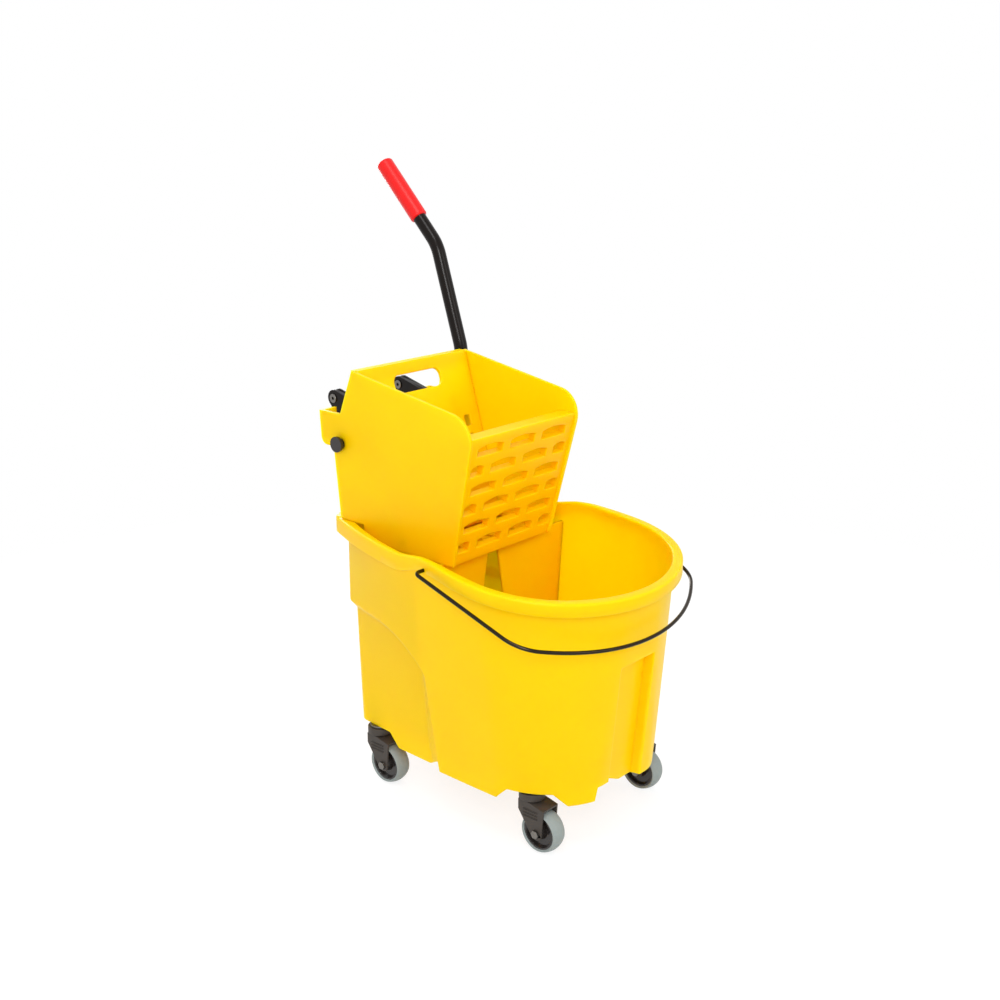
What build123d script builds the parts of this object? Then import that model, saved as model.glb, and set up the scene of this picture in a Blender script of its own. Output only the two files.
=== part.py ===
from build123d import *
import os
from math import atan2, cos, degrees, hypot, radians, sin, sqrt, tan

# Mop bucket on four swivel casters with a lift-off side-press wringer.
# Millimetres, +Z up, +X towards the rounded pouring end, +Y towards the handle side.
# Lengths along X are written from a point over the tub's floor; stand_shift then
# moves the whole object so that the origin is under the middle of its box.

# Tub: plan just under the lip and at the skirt's lower edge
skirt_z = 71
lip_z = 395
crown_z = 440
lip_half = 185
lip_front = 225
lip_rear = -274
lip_rear_half = 99
lip_bow = (56, 40)
foot_half = 150
foot_front = 203
foot_rear = -240
foot_rear_half = 140
foot_bow = (70, 25)
rear_round = 22
tub_wall = 4
floor_z = 94
floor_thickness = 4

# Recess round the lower rear of the tub, with a ramp at its front end and a notch under the ramp
recess_side = 10
recess_rear = 14
recess_crown_rear = -3.5
recess_step_z = 279
recess_flat_x = -175
recess_knee = (-50, 224)
recess_foot_x = -36
ramp_x = -32
ramp_run = 24
ramp_reach = 3
ramp_notch_x = -66
ramp_notch_z = 88
ramp_notch_gap = 4

# Flat nose with its pocket, and the off-centre gap in the skirt under it
nose_top = (224.4, 388)
nose_foot_x = 193
pocket_half = 38
pocket_depth = 15
pocket_top_z = 270
nose_gap_near = -64
nose_gap_top = -36
nose_gap_far = 8
nose_gap_z = 92
nose_gap_x = 150

# Rolled lip: overhang, flange and skirt, and the line of its top seen from the side
lip_overhang = 11
lip_side_overhang = 2
lip_side_places = (-60, -130, -200)
lip_rear_overhang = 26
lip_skin = 4
rim_rear_z = 406
rim_rear_end_x = -84
rim_pad_start_x = -40
rim_pad_z = 414
rim_pad_end_x = -12
rim_front_z = 383
lip_rear_height = 26
lip_front_height = 19

# Upright fins inside the tub that carry the front of the wringer
fin_x = -64
fin_thickness = 6
fin_inner_top = 28
fin_inner_foot = 62

# Bail
bail_x = -25
bail_drop = 15
bail_wire = 2.75
bail_gap = 2.25
bail_front_gap = 13.3
bail_bow = (191, 141)
bail_droop_angle = 18
bail_hook_depth = 9
bail_hook_round = 8
bail_hole_gap = 0.5

# Casters
swivel_front_x = 121
swivel_rear_x = -188
half_track = 121
trail = 21
wheel_radius = 31.75
wheel_half_width = 13
tread_inner = 26
tread_seat_half = 11
tread_shoulder = 28.6
hub_web_half = 6
hub_boss = 9
hub_boss_half = 13.4
axle_radius = 4
axle_head_radius = 6.5
axle_head_height = 4
leg_gap = 0.4
leg_thickness = 3
leg_round = 10
leg_rear_z = 61
fork_rear = 12
fork_crest = 3
fork_front = 34
fork_front_z = 70.5
fork_top_z = 77
fork_cover = 3
fork_boss_radius = 19
fork_rib_length = 26
fork_rib_height = 1.6
fork_rib_depth = 0.6
fork_rib_pitch = 5
fork_rib_count = 3
fork_rib_z = 60
stem_radius = 5.5
stem_length = 31
stem_collar = 3
stem_collar_radius = 15
stem_head_radius = 7.5
stem_head_height = 3.5
mount_z = 91
socket_radius = 15
socket_cover = 5
arch_foot_radius = 54
arch_top_radius = 37
running_gap = 0.05
face_gap = 0.3

# Wringer body
wringer_half = 118.5
wringer_mid_z = 543
wringer_draft_angle = 2.9
wringer_wall = 5
wringer_floor_z = 380
wringer_top_rear = (-226, 643)
wringer_top_front = (14, 601.3)
wringer_nose_round = 40
wringer_foot_x = -38
wringer_rear_x = -272
wringer_step_x = -222
wringer_rear_top = (-276, 507)
wringer_notch = (-257, 574)
bracket_rear_x = -303
bracket_low_z = 521
bracket_flange = 26
bracket_round = 12
apron_top_z = 470
rear_foot_half = 92
rear_foot_x = -296

# Perforated front wall with its level top flange
front_wall = 12
front_wall_setback = 4
front_wall_top_z = 575
front_flange = 5
front_flange_depth = 27
louvre_rows = 6
louvre_pitch = 30.5
louvre_first = 18
louvre_width = 54
louvre_height = 13
louvre_arch = 4
louvre_spacing = 70
half_louvre_place = 91
drain_length = 120
drain_width = 9
drain_pitch = 24
drain_count = 7

# Press plate, its hinge and its links
hinge = (-140, 396)
plate_lean_angle = 19
plate_face = 4
plate_thickness = 5
plate_height = 264
plate_foot = 6
plate_gap = 1.6
rail_height = 20
rail_depth = 12
hold_half = 50
hold_low = 214
hold_high = 242
hold_round = 12
weep_width = 13
weep_height = 18
weep_round = 3
weep_spacing = 56
weep_columns = 4
weep_pitch = 30
weep_rows = 4
weep_middle = 106
rib_thickness = 4
rib_depth = 14
rib_low = 10
rib_high = 200
barrel_radius = 9
hinge_pin_radius = 4
hinge_pin_depth = 18
hinge_pin_seat = 3
hinge_pin_spare = 4
link_y = 70
link_thickness = 6
link_foot_low = 140
link_foot_high = 182
link_band = 12
clevis_depth = 24
link_bolt_radius = 3
link_bolt_head = 6
link_bolt_head_height = 3
link_bolt_margin = 12

# Shaft, cranks and handle
shaft = (-260, 528)
shaft_radius = 8
tail = (-318, 582.5)
crank_thickness = 4
crank_gap = 0.4
crank_tail_round = 13
crank_boss_round = 17
crank_shoulder = (-262, 568)
crank_shoulder_round = 12
crank_hollow = 40
crank_waist = 9
drive_pin_radius = 5
drive_pin_bore = 2.5
drive_pin_head = 7
drive_pin_head_height = 2
slot_gap = 0.1
handle_angle = 80
plate_angle = 28
slot_steps = 12
slot_spare_angle = 1.5
cap_radius = 12
cap_thickness = 6
cap_socket = 3
cap_gap = 4
handle_y = 150
collar_half = 17
collar_radius = 18
neck_radius = 15
neck_top_z = 592
tube_foot_z = 550
tube_radius = 11
tube_wall = 2
handle_knee_z = 637
handle_bend = (-311, 799)
handle_tip = (-429, 924)
handle_bend_round = 70
grip_radius = 14
grip_length = 116
grip_end = 9
grip_round = 4
grip_hole = 3
handle_bolt_radius = 3
handle_bolt_z = 576
handle_bolt_head = 5.5
handle_bolt_head_height = 4

# Origin: under the middle of the box between the grip's end and the lip's front
grip_lean = atan2(handle_bend[0] - handle_tip[0], handle_tip[1] - handle_bend[1])
rear_reach = handle_tip[0] + grip_round * sin(grip_lean) - grip_round
rear_reach = rear_reach - (grip_radius - grip_round) * cos(grip_lean)
stand_shift = -(rear_reach + lip_front + lip_overhang) / 2

os.makedirs("parts", exist_ok=True)


def level(height):
    """Horizontal plane at a height."""
    return Plane(origin=(stand_shift, 0, height))


def side(across):
    """Upright plane facing -Y, with X along and Z up, at a place across the object."""
    return Plane(origin=(stand_shift, across, 0), x_dir=(1, 0, 0), z_dir=(0, -1, 0))


def across_plane(along):
    """Upright plane facing +X, with Y along and Z up, at a place along the object."""
    return Plane(origin=(stand_shift + along, 0, 0), x_dir=(0, 1, 0), z_dir=(1, 0, 0))


def blend(low, high, share):
    return low + share * (high - low)


def bow_start(front, half, centre):
    """Where a rounded front end leaves the straight sides."""
    along, across = centre
    return front - (half - across) - hypot(along, across) + along


def bow(front, half, centre):
    """Rounded front end: a wide arc across the nose and a tighter one at each corner."""
    along, across = centre
    corner = half - across
    nose = corner + hypot(along, across)
    turn = degrees(atan2(across, along))
    corner_x = bow_start(front, half, centre)
    CenterArc((corner_x, -across), corner, -90, 90 - turn)
    CenterArc((front - nose, 0), nose, -turn, 2 * turn)
    CenterArc((corner_x, across), corner, turn, 90 - turn)


def tub_half(height):
    return blend(foot_half, lip_half, (height - skirt_z) / (lip_z - skirt_z))


def outline(height, inset, rear_inset):
    """Plan of the tapered tub at a height, moved in by inset and rear_inset."""
    share = (height - skirt_z) / (lip_z - skirt_z)
    half = tub_half(height) - inset
    front = blend(foot_front, lip_front, share) - inset
    rear = blend(foot_rear, lip_rear, share) + rear_inset
    rear_half = blend(foot_rear_half, lip_rear_half, share) - inset
    centre = [blend(low, high, share) for low, high in zip(foot_bow, lip_bow)]
    with BuildSketch(level(height)) as plan:
        with BuildLine():
            corner_x = bow_start(front, half, centre)
            bow(front, half, centre)
            TangentArc((corner_x, half), (rear, rear_half), tangent=(-1, 0))
            TangentArc((corner_x, -half), (rear, -rear_half), tangent=(-1, 0))
            Line((rear, rear_half), (rear, -rear_half))
        make_face()
        fillet(plan.vertices().sort_by(Axis.X)[:2], rear_round)
    return plan.sketch


def tub(inset, rear_inset, crown_rear_inset):
    """Solid of the tapered tub, from below its skirt to above its rim."""
    foot = outline(skirt_z - inset, inset, rear_inset)
    crown = outline(crown_z, inset, crown_rear_inset)
    with BuildPart() as solid:
        loft(sections=[foot, crown], ruled=True)
    return solid.part


def ramp_section(height, wall):
    """Plan of what stays in front of the recess: its edge runs out over a slanted ramp."""
    outer = tub_half(height) - wall
    back_x = ramp_x - (1 + ramp_reach) * ramp_run + wall
    back_y = outer - (1 + ramp_reach) * recess_side
    front_x = ramp_x + ramp_reach * ramp_run + wall
    front_y = outer + ramp_reach * recess_side
    with BuildSketch(level(height)) as section:
        with BuildLine():
            Polyline(
                (back_x, back_y), (lip_front, back_y), (lip_front, front_y), (front_x, front_y), close=True
            )
        make_face()
    return section.sketch


def recess(wall):
    """What the recess takes off the tub; with a wall, what it takes off the hollow."""
    core = tub(recess_side + wall, recess_rear + wall, recess_crown_rear + wall)
    knee_x = recess_knee[0] + wall
    rear_x = lip_rear - lip_half
    low = skirt_z - lip_half
    with BuildPart() as solid:
        with BuildSketch(side(0)):
            with BuildLine():
                Polyline((rear_x, low), (rear_x, recess_step_z + wall), (recess_flat_x, recess_step_z + wall))
                TangentArc((recess_flat_x, recess_step_z + wall), (knee_x, recess_knee[1]), tangent=(1, 0))
                Polyline((knee_x, recess_knee[1]), (recess_foot_x + wall, low), (rear_x, low))
            make_face()
        extrude(amount=2 * lip_half, both=True)
        add(core, mode=Mode.SUBTRACT)
    with BuildPart() as kept:
        loft(sections=[ramp_section(low, wall), ramp_section(lip_z, wall)])
        mirror(about=Plane.XZ)
    with BuildPart() as cut:
        add(solid.part)
        add(kept.part, mode=Mode.SUBTRACT)
    return cut.part


def nose_at(height):
    return blend(nose_foot_x, nose_top[0], (height - skirt_z) / (nose_top[1] - skirt_z))


def nose(wall):
    """What the flat nose and its pocket take off the tub, or off the hollow."""
    low = skirt_z - lip_half
    ahead = 2 * lip_front
    ledge = pocket_top_z + wall
    back = pocket_depth + wall
    with BuildPart() as solid:
        with BuildSketch(side(0)):
            with BuildLine():
                Polyline(
                    (nose_at(low) - wall, low),
                    (nose_top[0] - wall, nose_top[1]),
                    (ahead, nose_top[1]),
                    (ahead, low),
                    close=True,
                )
            make_face()
        extrude(amount=lip_half, both=True)
        with BuildSketch(side(0)):
            with BuildLine():
                Polyline(
                    (nose_at(low) - back, low),
                    (nose_at(ledge) - back, ledge),
                    (ahead, ledge),
                    (ahead, low),
                    close=True,
                )
            make_face()
        extrude(amount=pocket_half + wall, both=True)
    return solid.part


def rim_line(drop, rear_drop):
    """Points of a line under the rim's top, from the rear to the front, seen from the side."""
    ahead = lip_front + lip_half
    slope = (rim_front_z - rim_pad_z) / (lip_front + lip_overhang - rim_pad_end_x)
    front_z = rim_pad_z + slope * (ahead - rim_pad_end_x)
    return [
        (lip_rear - lip_half, rim_rear_z - rear_drop),
        (rim_rear_end_x, rim_rear_z - rear_drop),
        (rim_pad_start_x, rim_pad_z - drop),
        (rim_pad_end_x, rim_pad_z - drop),
        (ahead, front_z - drop),
    ]


def band(upper, lower):
    """Face between two such lines."""
    with BuildSketch(side(0)) as face:
        with BuildLine():
            Polyline(*upper, *reversed(lower), close=True)
        make_face()
    return face.sketch


def lip_prism(inset):
    """Upright prism of the lip's plan, moved in by inset: it stands out over the rounded front,
    lies close to the wall along the rear sides and stands out again over the rear."""
    front = lip_front + lip_overhang - inset
    half = lip_half + lip_overhang - inset
    rear = lip_rear - lip_rear_overhang + inset
    corner_x = bow_start(front, half, lip_bow)
    drop = lip_half - lip_rear_half
    radius = ((corner_x - lip_rear) ** 2 + drop**2) / (2 * drop)
    sides = [(corner_x, half)]
    for along in (*lip_side_places, rear):
        wall_half = lip_half - radius + sqrt(radius**2 - (corner_x - along) ** 2)
        sides.append((along, wall_half + lip_side_overhang - inset))
    end_slope = (corner_x - rear) / sqrt(radius**2 - (corner_x - rear) ** 2)
    with BuildPart() as solid:
        with BuildSketch(level(lip_z)) as plan:
            with BuildLine():
                bow(front, half, lip_bow)
                Spline(*sides, tangents=((-1, 0), (-1, -end_slope)))
                Spline(*[(x, -y) for x, y in sides], tangents=((-1, 0), (-1, end_slope)))
                Line(sides[-1], (rear, -sides[-1][1]))
            make_face()
            fillet(plan.vertices().sort_by(Axis.X)[:2], rear_round)
        extrude(amount=lip_half, both=True)
    return solid.part


# Bucket: tapered shell with the lower-rear recess, flat nose, floor and rolled lip
caster_places = {
    "front_near": (swivel_front_x, -half_track),
    "front_far": (swivel_front_x, half_track),
    "rear_near": (swivel_rear_x, -half_track),
    "rear_far": (swivel_rear_x, half_track),
}
skin_solid = tub(0, 0, 0)
skin_recess = recess(0)
skin_nose = nose(0)
hollow_solid = tub(tub_wall, tub_wall, tub_wall)
hollow_recess = recess(tub_wall)
hollow_nose = nose(tub_wall)
lip_solid = lip_prism(0)
lip_core = lip_prism(lip_skin)
lip_band = band(rim_line(0, 0), rim_line(lip_front_height, lip_rear_height))
lip_under = band(rim_line(lip_skin, lip_skin), rim_line(lip_half, lip_half))
above_rim = band(rim_line(-lip_half, -lip_half), rim_line(0, 0))
fin_top_z = wringer_floor_z - face_gap
arch_taper = degrees(atan2(arch_foot_radius - arch_top_radius, mount_z - skirt_z))
bail_z = rim_pad_z - bail_drop
bail_hook_end = lip_half - bail_hook_depth

with BuildPart() as skin:
    add(skin_solid)
    add(skin_recess, mode=Mode.SUBTRACT)
    add(skin_nose, mode=Mode.SUBTRACT)

with BuildPart() as hollow:
    add(hollow_solid)
    add(hollow_recess, mode=Mode.SUBTRACT)
    add(hollow_nose, mode=Mode.SUBTRACT)
hollow_foot = hollow.faces().sort_by(Axis.Z)[0]

# Under the floor the skirt is upright inside
with BuildPart() as under_floor:
    extrude(to_extrude=hollow_foot, amount=floor_z - skirt_z + tub_wall, dir=(0, 0, 1))

with BuildPart() as room:
    add(hollow.part)
    with BuildSketch(level(floor_z + floor_thickness)):
        Rectangle(4 * lip_half, 4 * lip_half)
    extrude(amount=-lip_half, mode=Mode.SUBTRACT)

with BuildPart() as lip_hollow:
    add(lip_core)
    extrude(to_extrude=lip_under, amount=2 * lip_half, both=True, mode=Mode.INTERSECT)

with BuildPart() as lip:
    add(lip_solid)
    extrude(to_extrude=lip_band, amount=2 * lip_half, both=True, mode=Mode.INTERSECT)
    add(lip_hollow.part, mode=Mode.SUBTRACT)

with BuildPart() as inside:
    for across in (-1, 1):
        with BuildSketch(across_plane(fin_x)):
            with BuildLine():
                Polyline(
                    (across * fin_inner_foot, floor_z),
                    (across * fin_inner_top, fin_top_z),
                    (across * lip_half, fin_top_z),
                    (across * lip_half, floor_z),
                    close=True,
                )
            make_face()
        extrude(amount=fin_thickness)
    with BuildSketch(level(mount_z)):
        with Locations(*caster_places.values()):
            Circle(socket_radius)
    extrude(amount=stem_length + socket_cover)
    add(skin.part, mode=Mode.INTERSECT)

with BuildPart() as bucket:
    add(skin.part)
    add(lip.part)
    extrude(to_extrude=above_rim, amount=2 * lip_half, both=True, mode=Mode.SUBTRACT)
    add(room.part, mode=Mode.SUBTRACT)
    add(under_floor.part, mode=Mode.SUBTRACT)
    add(inside.part)
    # Sloping arches over the casters, the notch under each ramp and the gap under the nose
    with BuildSketch(level(skirt_z)):
        with Locations(*caster_places.values()):
            Circle(arch_foot_radius)
    extrude(amount=mount_z - skirt_z, taper=arch_taper, mode=Mode.SUBTRACT)
    with BuildSketch(side(0)):
        Polygon(
            (ramp_notch_x, skirt_z),
            (ramp_x - ramp_notch_gap, ramp_notch_z),
            (ramp_x - ramp_notch_gap, skirt_z),
            align=None,
        )
    extrude(amount=lip_half, both=True, mode=Mode.SUBTRACT)
    with BuildSketch(across_plane(nose_gap_x)):
        Polygon(
            (nose_gap_near, skirt_z),
            (nose_gap_near, nose_gap_z),
            (nose_gap_top, nose_gap_z),
            (nose_gap_far, skirt_z),
            align=None,
        )
    extrude(amount=lip_front, mode=Mode.SUBTRACT)
    with BuildSketch(level(mount_z)):
        with Locations(*caster_places.values()):
            Circle(stem_radius)
    extrude(amount=stem_length, mode=Mode.SUBTRACT)
    for across in (-1, 1):
        with BuildSketch(side(across * bail_hook_end)):
            with Locations((bail_x, bail_z)):
                Circle(bail_wire + bail_hole_gap)
        extrude(amount=-across * 2 * lip_overhang, mode=Mode.SUBTRACT)
bucket.part.label = "bucket"
export_step(bucket.part, "parts/bucket.step")

# Bail: one bent wire, hooked through a hole on each side of the tub, its front clear of the nose
droop = radians(bail_droop_angle)
bail_half = lip_half + lip_overhang + bail_gap + bail_wire
front_slope = (lip_front - foot_front) / (lip_z - skirt_z)
front_at_bail = foot_front + front_slope * (bail_z - skirt_z)
bail_reach = front_at_bail + bail_wire + bail_front_gap - bail_x
bail_reach = bail_reach / (cos(droop) + front_slope * sin(droop))
bail_plane = Plane(
    origin=(stand_shift + bail_x, 0, bail_z),
    x_dir=(cos(droop), 0, -sin(droop)),
    z_dir=(sin(droop), 0, cos(droop)),
)
with BuildPart() as bail:
    with BuildLine(bail_plane) as bail_path:
        leg_end = bow_start(bail_reach, bail_half, bail_bow)
        knuckle = bail_half - bail_hook_round
        Line((0, -bail_hook_end), (0, -knuckle))
        CenterArc((bail_hook_round, -knuckle), bail_hook_round, 180, 90)
        Line((bail_hook_round, -bail_half), (leg_end, -bail_half))
        bow(bail_reach, bail_half, bail_bow)
        Line((leg_end, bail_half), (bail_hook_round, bail_half))
        CenterArc((bail_hook_round, knuckle), bail_hook_round, 90, 90)
        Line((0, knuckle), (0, bail_hook_end))
    with BuildSketch(side(-bail_hook_end)):
        with Locations((bail_x, bail_z)):
            Circle(bail_wire)
    sweep(path=bail_path.wires()[0])
bail.part.label = "bail"
export_step(bail.part, "parts/bail.step")

# Casters: stem in the tub, swivelling fork, axle, hub and tread
axle_z = wheel_radius
fork_low_z = fork_front_z - fork_cover
leg_inner = hub_boss_half + leg_gap
leg_outer = leg_inner + leg_thickness
for corner, (place_x, place_y) in caster_places.items():
    swivel = Plane(origin=(stand_shift + place_x, place_y, 0))
    upright = Plane(origin=(stand_shift + place_x, place_y, 0), x_dir=(1, 0, 0), z_dir=(0, -1, 0))
    wheel_plane = Plane(
        origin=(stand_shift + place_x + trail, place_y, axle_z), x_dir=(0, 1, 0), z_dir=(1, 0, 0)
    )
    axle_line = Axis((stand_shift + place_x + trail, place_y, axle_z), (0, 1, 0))

    # Steel stem with a collar under the tub and a head under the fork
    with BuildPart() as stem:
        with BuildSketch(swivel.offset(fork_low_z - face_gap - stem_head_height)):
            Circle(stem_head_radius)
        extrude(amount=stem_head_height)
        with BuildSketch(swivel.offset(fork_low_z - face_gap)):
            Circle(stem_radius)
        extrude(amount=mount_z + stem_length - fork_low_z + face_gap)
        with BuildSketch(swivel.offset(mount_z - stem_collar)):
            Circle(stem_collar_radius)
        extrude(amount=stem_collar)
    stem.part.label = f"caster_stem_{corner}"
    export_step(stem.part, f"parts/caster_stem_{corner}.step")

    # Fork: channel with a sloping cover, two ribbed tapering legs and a round boss on top
    with BuildPart() as fork:
        with BuildSketch(upright.offset(-leg_outer)):
            with Locations((trail, axle_z)):
                Circle(leg_round)
            Polygon(
                (-fork_rear, leg_rear_z),
                (-fork_rear, fork_top_z),
                (fork_crest, fork_top_z),
                (fork_front, fork_front_z),
                align=None,
            )
            make_hull()
        extrude(amount=2 * leg_outer)
        with BuildSketch(upright.offset(-leg_inner)):
            with Locations((trail, fork_low_z)):
                Rectangle(4 * fork_front, 2 * fork_low_z, align=(Align.CENTER, Align.MAX))
        extrude(amount=2 * leg_inner, mode=Mode.SUBTRACT)
        for face, outward in ((leg_outer, 1), (-leg_outer, -1)):
            with BuildSketch(upright.offset(face)):
                with Locations(((fork_front - fork_rear) / 2, fork_rib_z)):
                    with GridLocations(0, fork_rib_pitch, 1, fork_rib_count):
                        Rectangle(fork_rib_length, fork_rib_height)
            extrude(amount=outward * fork_rib_depth)
        with BuildSketch(swivel.offset(fork_top_z)):
            Circle(fork_boss_radius)
        extrude(amount=mount_z - stem_collar - face_gap - fork_top_z)
        with BuildSketch(upright):
            with Locations((trail, axle_z)):
                Circle(axle_radius)
        extrude(amount=2 * leg_outer, both=True, mode=Mode.SUBTRACT)
        with BuildSketch(swivel):
            Circle(stem_radius + running_gap)
        extrude(amount=mount_z, mode=Mode.SUBTRACT)
    fork.part.label = f"caster_fork_{corner}"
    export_step(fork.part, f"parts/caster_fork_{corner}.step")

    # Axle bolt with its head and nut outside the legs
    with BuildPart() as axle:
        with BuildSketch(upright.offset(-leg_outer)):
            with Locations((trail, axle_z)):
                Circle(axle_radius)
        extrude(amount=2 * leg_outer)
        with BuildSketch(upright.offset(leg_outer)):
            with Locations((trail, axle_z)):
                RegularPolygon(axle_head_radius, 6)
        extrude(amount=axle_head_height)
        with BuildSketch(upright.offset(-leg_outer)):
            with Locations((trail, axle_z)):
                Circle(axle_head_radius)
        extrude(amount=-axle_head_height)
    axle.part.label = f"caster_axle_{corner}"
    export_step(axle.part, f"parts/caster_axle_{corner}.step")

    # Dished hub, turning on the axle
    rim_in = tread_inner - (hub_boss - axle_radius) / 2
    with BuildPart() as hub:
        with BuildSketch(wheel_plane):
            with BuildLine():
                Polyline(
                    (0, axle_radius + running_gap),
                    (hub_boss_half, axle_radius + running_gap),
                    (hub_boss_half, hub_boss),
                    (hub_web_half, hub_boss + hub_web_half / 2),
                    (hub_web_half, rim_in - hub_web_half / 2),
                    (tread_seat_half, rim_in),
                    (tread_seat_half, tread_inner),
                    (0, tread_inner),
                    close=True,
                )
            make_face()
            mirror(about=Plane.YZ)
        revolve(axis=axle_line)
    hub.part.label = f"caster_hub_{corner}"
    export_step(hub.part, f"parts/caster_hub_{corner}.step")

    # Soft tread with a rounded crown
    with BuildPart() as tread:
        with BuildSketch(wheel_plane):
            with BuildLine():
                Polyline(
                    (-wheel_half_width, tread_shoulder),
                    (-wheel_half_width, tread_inner + wheel_half_width - tread_seat_half),
                    (-tread_seat_half, tread_inner),
                    (tread_seat_half, tread_inner),
                    (wheel_half_width, tread_inner + wheel_half_width - tread_seat_half),
                    (wheel_half_width, tread_shoulder),
                )
                ThreePointArc(
                    (wheel_half_width, tread_shoulder), (0, wheel_radius), (-wheel_half_width, tread_shoulder)
                )
            make_face()
        revolve(axis=axle_line)
    tread.part.label = f"caster_tread_{corner}"
    export_step(tread.part, f"parts/caster_tread_{corner}.step")

# Wringer body: two leaning side walls with rear brackets, perforated front and drained floor
draft = radians(wringer_draft_angle)


def wringer_at(height):
    """Half the outer width of the wringer at a height."""
    return wringer_half + (height - wringer_mid_z) * tan(draft)


near_wall = Plane(
    origin=(stand_shift, -wringer_at(0), 0), x_dir=(1, 0, 0), z_dir=(0, -cos(draft), -sin(draft))
)
seat_z = rim_rear_z + face_gap
front_lean = atan2(wringer_top_front[0] - wringer_foot_x, wringer_top_front[1] - wringer_floor_z)
front_foot_x = wringer_foot_x - front_wall_setback
front_plane = Plane(
    origin=(stand_shift + front_foot_x, 0, wringer_floor_z),
    x_dir=(0, 1, 0),
    z_dir=(cos(front_lean), 0, -sin(front_lean)),
)
flange_low_z = front_wall_top_z - front_flange
front_height = (flange_low_z - wringer_floor_z) / cos(front_lean)
front_top_x = front_foot_x + (front_wall_top_z - wringer_floor_z) * tan(front_lean)
front_low_x = front_foot_x + (flange_low_z - wringer_floor_z) * tan(front_lean)
floor_end_x = front_foot_x - front_wall / 2
floor_width = 2 * wringer_at(wringer_floor_z) - wringer_wall
grip_wall = wringer_wall / 2
wall_outline = [
    (wringer_foot_x, wringer_floor_z),
    wringer_top_front,
    wringer_top_rear,
    wringer_notch,
    (bracket_rear_x, wringer_notch[1]),
    (bracket_rear_x, bracket_low_z),
    (wringer_rear_top[0], bracket_low_z),
    wringer_rear_top,
    (wringer_rear_x, seat_z),
    (wringer_step_x, seat_z),
    (wringer_step_x, wringer_floor_z),
]
shaft_bore = shaft_radius + running_gap
flange_foot_z = bracket_low_z + bracket_round
pin_end = wringer_at(hinge[1]) - wringer_wall / cos(draft) + hinge_pin_seat


def louvre(width):
    """Opening of a width, with an arched top."""
    edge = width / 2
    with BuildSketch() as face:
        with BuildLine():
            Polyline((edge, louvre_height), (edge, 0), (-edge, 0), (-edge, louvre_height))
            ThreePointArc((-edge, louvre_height), (0, louvre_height + louvre_arch), (edge, louvre_height))
        make_face()
    return face.sketch


full_louvre = louvre(louvre_width)
half_louvre = louvre(louvre_width / 2)

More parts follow.
